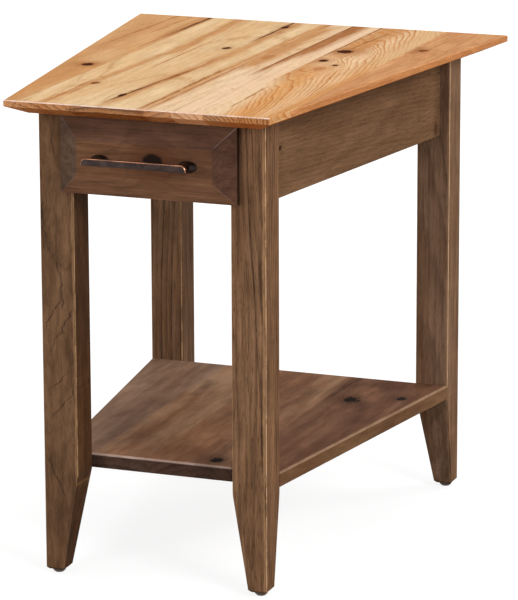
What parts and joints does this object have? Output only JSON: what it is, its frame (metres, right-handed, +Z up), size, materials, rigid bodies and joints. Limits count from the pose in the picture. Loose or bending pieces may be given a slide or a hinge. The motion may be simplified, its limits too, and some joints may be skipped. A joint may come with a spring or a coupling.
{
  "type": "wedge table",
  "caption": "Wedge-shaped wooden end table, narrow at the front, with a natural plank top, dark stained tapered legs, a lower shelf and a dovetailed drawer with a bar pull.",
  "frame": {"origin": "on the floor, at the centre of the overall box", "axes": "+Z up, -Y towards the narrow drawer front, +X to the right when facing the drawer"},
  "size_m": [0.5266, 0.6524, 0.6096],
  "materials": {
    "hickory_top": "natural hickory under a satin clear coat, boards of mixed heart and sap tone",
    "hickory_base": "dark brown stain, satin, arrises rubbed through to lighter wood",
    "hickory_shelf": "dark brown stain, satin, front arris rubbed lighter",
    "hickory_drawer_front": "dark brown stain, satin, with a knot in the raised field",
    "drawer_box_wood": "clear-coated pale hardwood",
    "drawer_ply": "clear-coated plywood",
    "runner_wood": "plain hardwood, waxed",
    "dowel_wood": "fluted beech, unfinished",
    "pull_bronze": "oil-rubbed bronze with copper showing on the edges",
    "screw_steel": "zinc plated",
    "glide_nylon": "dark moulded nylon on a nail"
  },
  "bodies": {
    "table": {"drawer_guide_left": "runner_wood", "drawer_guide_right": "runner_wood", "drawer_kicker_left": "runner_wood", "drawer_kicker_right": "runner_wood", "drawer_runner_left": "runner_wood", "drawer_runner_right": "runner_wood", "front_lower_rail": "hickory_base", "front_top_rail": "hickory_base", "leg_back_left": "hickory_base", "leg_back_right": "hickory_base", "leg_front_left": "hickory_base", "leg_front_right": "hickory_base", "leg_glides": "glide_nylon", "rear_apron": "hickory_base", "shelf_board_1": "hickory_shelf", "shelf_board_2": "hickory_shelf", "shelf_board_3": "hickory_shelf", "shelf_board_4": "hickory_shelf", "shelf_board_5": "hickory_shelf", "shelf_dowels": "dowel_wood", "side_apron_left": "hickory_base", "side_apron_right": "hickory_base", "top_board_1": "hickory_top", "top_board_2": "hickory_top", "top_board_3": "hickory_top", "top_board_4": "hickory_top", "top_board_5": "hickory_top", "top_board_6": "hickory_top", "top_board_7": "hickory_top", "top_screws": "screw_steel"},
    "drawer": {"drawer_front": "hickory_drawer_front", "drawer_box_front": "drawer_box_wood", "drawer_box_back": "drawer_box_wood", "drawer_side_left": "drawer_box_wood", "drawer_side_right": "drawer_box_wood", "drawer_bottom": "drawer_ply", "drawer_front_screws": "screw_steel", "pull": "pull_bronze", "pull_screws": "screw_steel"}
  },
  "joints": [
    {"name": "drawer_slide", "type": "slide", "parent": "table", "child": "drawer", "axis": [0, -1, 0], "range_m": [0, 0.3]}
  ]
}
